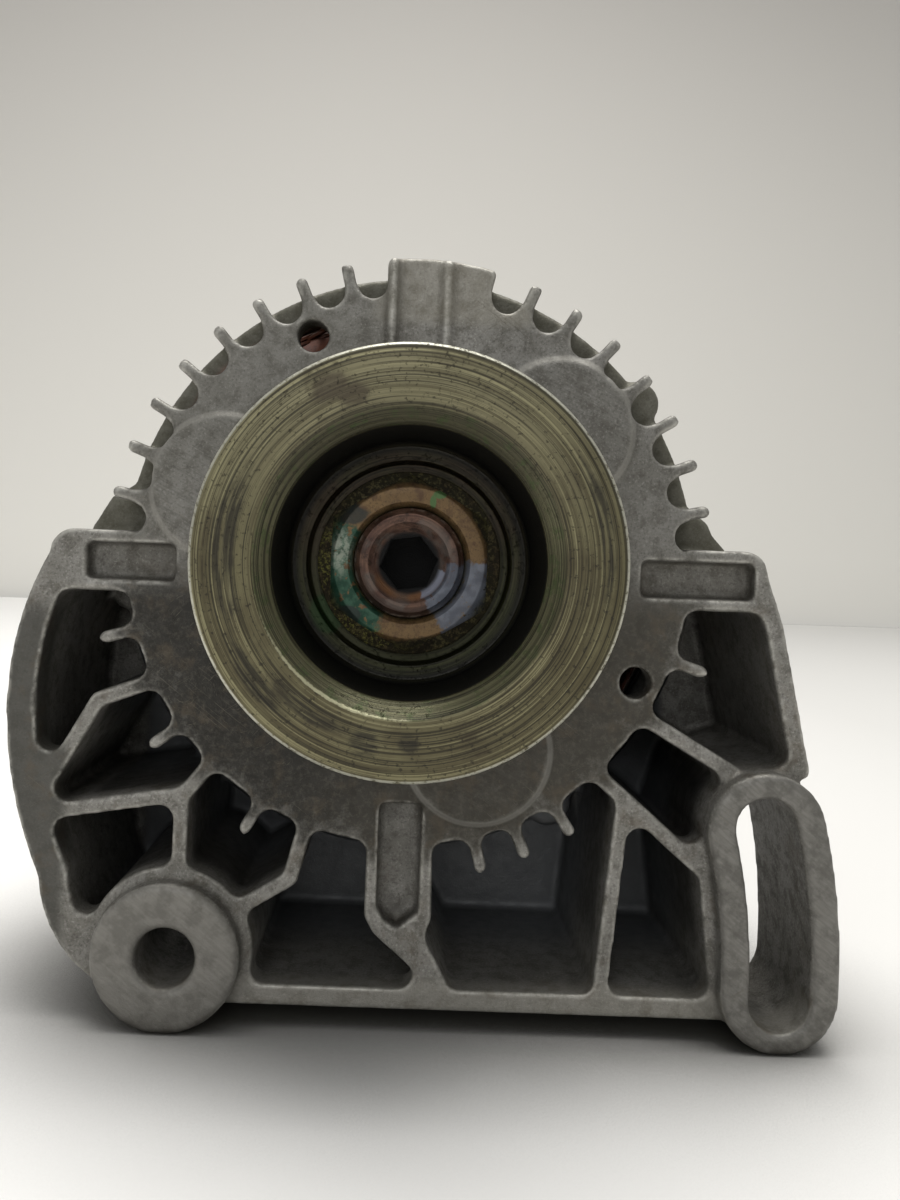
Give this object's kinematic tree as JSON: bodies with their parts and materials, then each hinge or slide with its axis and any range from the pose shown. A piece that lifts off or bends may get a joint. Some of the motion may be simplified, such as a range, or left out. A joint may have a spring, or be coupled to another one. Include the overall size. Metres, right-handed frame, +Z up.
{
  "type": "alternator",
  "caption": "Engine alternator with a ribbed belt pulley, a webbed cast bracket with pivot boss and slotted adjuster lug, and a claw-pole rotor.",
  "frame": {"origin": "on the axis of the pivot bore, level with the front face of the bracket plate", "axes": "+X to the right seen from the pulley, from the pivot towards the adjuster lug; +Y along the pivot bore and the rotor axis, from the pulley to the rear; +Z up"},
  "size_m": [0.1436, 0.1597, 0.1383],
  "materials": {
    "cast_aluminium": "sand-cast, greyed and worn",
    "sheet_aluminium": "plain sheet",
    "pulley_steel": "turned, yellowed plating",
    "nut_steel": "tarnished plating",
    "shaft_steel": "turned, rusted at the open end",
    "bearing_steel": "ground",
    "seal_rubber": "moulded",
    "plated_steel": "zinc plated",
    "core_steel": "laminated and forged steel",
    "copper_wire": "enamelled copper wire",
    "slip_ring_copper": "polished copper",
    "carbon": "pressed carbon",
    "black_plastic": "moulded, fine grain",
    "pale_plastic": "moulded"
  },
  "bodies": {
    "housing": {"drive_end_bracket": "cast_aluminium", "front_bearing_outer_ring": "bearing_steel", "front_bearing_seals": "seal_rubber", "bearing_retainer_plate": "plated_steel", "retainer_screws": "plated_steel", "stator_core": "core_steel", "stator_winding": "copper_wire", "slip_ring_end_bracket": "cast_aluminium", "through_bolts": "plated_steel", "rear_bearing_outer_ring": "bearing_steel", "rear_bearing_seals": "seal_rubber", "rear_bearing_sleeve": "black_plastic", "brush_holder": "black_plastic", "brush_holder_screws": "plated_steel", "inner_brush_spring": "plated_steel", "outer_brush_spring": "plated_steel", "voltage_regulator": "black_plastic", "lamp_terminal": "plated_steel", "negative_heat_sink": "sheet_aluminium", "positive_heat_sink": "sheet_aluminium", "negative_diodes": "plated_steel", "positive_diodes": "plated_steel", "heat_sink_spacers": "black_plastic", "rectifier_terminal_carrier": "black_plastic", "rectifier_screws": "plated_steel", "phase_leads": "copper_wire", "battery_stud": "plated_steel", "battery_stud_insulator": "black_plastic", "battery_stud_washer": "plated_steel", "battery_stud_nut": "plated_steel", "cover_studs": "plated_steel", "cover_nuts": "plated_steel", "rear_cover": "black_plastic"},
    "rotor": {"rotor_shaft": "shaft_steel", "pulley": "pulley_steel", "pulley_washer": "nut_steel", "pulley_nut": "nut_steel", "spacer_collar": "bearing_steel", "front_bearing_inner_ring": "bearing_steel", "rear_bearing_inner_ring": "bearing_steel", "front_claw_pole": "core_steel", "rear_claw_pole": "core_steel", "field_bobbin": "pale_plastic", "field_coil": "copper_wire", "front_fan": "plated_steel", "rear_fan": "plated_steel", "slip_ring_sleeve": "pale_plastic", "inner_slip_ring": "slip_ring_copper", "outer_slip_ring": "slip_ring_copper"},
    "front_ball_set": {"front_bearing_balls": "bearing_steel", "front_bearing_cage": "pale_plastic"},
    "rear_ball_set": {"rear_bearing_balls": "bearing_steel", "rear_bearing_cage": "pale_plastic"},
    "inner_brush": {"inner_brush": "carbon"},
    "outer_brush": {"outer_brush": "carbon"}
  },
  "joints": [
    {"name": "rotor_spin", "type": "hinge", "parent": "housing", "child": "rotor", "pos_m": [0.039, 0, 0.0681], "axis": [0, 1, 0], "continuous": true},
    {"name": "front_ball_train", "type": "hinge", "parent": "housing", "child": "front_ball_set", "pos_m": [0.039, 0.0105, 0.0681], "axis": [0, 1, 0], "continuous": true},
    {"name": "rear_ball_train", "type": "hinge", "parent": "housing", "child": "rear_ball_set", "pos_m": [0.039, 0.082, 0.0681], "axis": [0, 1, 0], "continuous": true},
    {"name": "inner_brush_slide", "type": "slide", "parent": "housing", "child": "inner_brush", "axis": [0, 0, 1], "range_m": [0, 0.006], "stiffness_N_per_m": 300, "springref_m": -0.01, "deforming": ["inner_brush_spring"]},
    {"name": "outer_brush_slide", "type": "slide", "parent": "housing", "child": "outer_brush", "axis": [0, 0, 1], "range_m": [0, 0.006], "stiffness_N_per_m": 300, "springref_m": -0.01, "deforming": ["outer_brush_spring"]}
  ],
  "couplings": [
    {"joint": "front_ball_train", "follows": "rotor_spin", "ratio": 0.35313},
    {"joint": "rear_ball_train", "follows": "rotor_spin", "ratio": 0.382}
  ]
}
